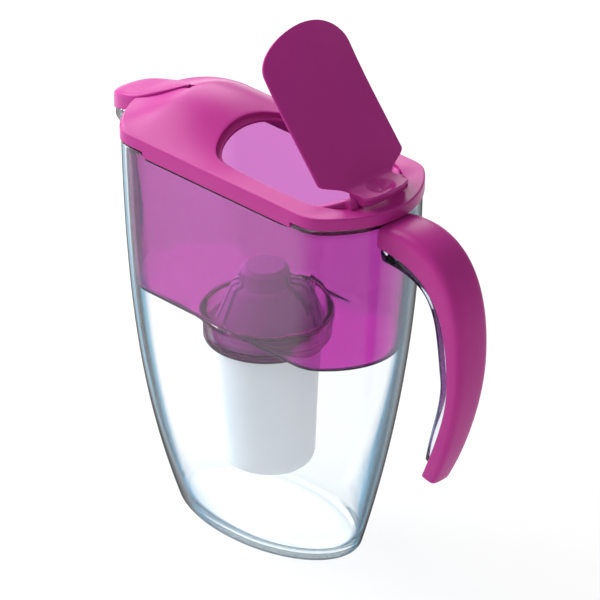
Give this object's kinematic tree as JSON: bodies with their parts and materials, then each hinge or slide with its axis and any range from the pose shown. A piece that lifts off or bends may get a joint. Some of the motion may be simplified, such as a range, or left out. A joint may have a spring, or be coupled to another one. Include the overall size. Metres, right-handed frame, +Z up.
{
  "type": "water filter pitcher",
  "caption": "Clear pitcher with a hanging tinted hopper, a filter cartridge, and a lid with a flip-up fill flap and a spout flap.",
  "frame": {"origin": "middle of the jug's base, on the surface that it stands on", "axes": "+Z up, +X towards the handle, -X towards the spout"},
  "size_m": [0.2911, 0.0932, 0.3357],
  "materials": {
    "clear_jug": "clear glossy plastic",
    "magenta": "satin",
    "tinted": "clear tinted glossy plastic",
    "white": "satin",
    "felt": "felt",
    "sorbent": "granular",
    "screen": "woven mesh",
    "seal": "soft matte"
  },
  "bodies": {
    "jug": {"jug": "clear_jug", "handle_cover": "magenta"},
    "hopper": {"hopper": "tinted"},
    "cartridge": {"cartridge_body": "white", "cartridge_base": "white", "bottom_felt": "felt", "sorbent_bed": "sorbent", "top_screen": "screen", "cartridge_seal": "seal", "cartridge_cap": "white"},
    "lid": {"lid": "magenta"},
    "flip_flap": {"flip_flap": "magenta"},
    "spout_flap": {"spout_flap": "magenta"}
  },
  "joints": [
    {"name": "hopper_lift", "type": "slide", "parent": "jug", "child": "hopper", "axis": [0, 0, 1], "range_m": [0, 0.22]},
    {"name": "lid_lift", "type": "slide", "parent": "hopper", "child": "lid", "axis": [0, 0, 1], "range_m": [0, 0.3]},
    {"name": "cartridge_lift", "type": "slide", "parent": "hopper", "child": "cartridge", "axis": [0, 0, 1], "range_m": [0, 0.15]},
    {"name": "flap_hinge", "type": "hinge", "parent": "lid", "child": "flip_flap", "pos_m": [0.0865, 0, 0.249], "axis": [0, -1, 0], "range_deg": [0, 50]},
    {"name": "spout_flap_hinge", "type": "hinge", "parent": "lid", "child": "spout_flap", "pos_m": [-0.068, 0, 0.2607], "axis": [0, 1, 0], "range_deg": [0, 35]}
  ],
  "couplings": [
    {"joint": "cartridge_lift", "follows": "lid_lift", "ratio": 0.5}
  ]
}
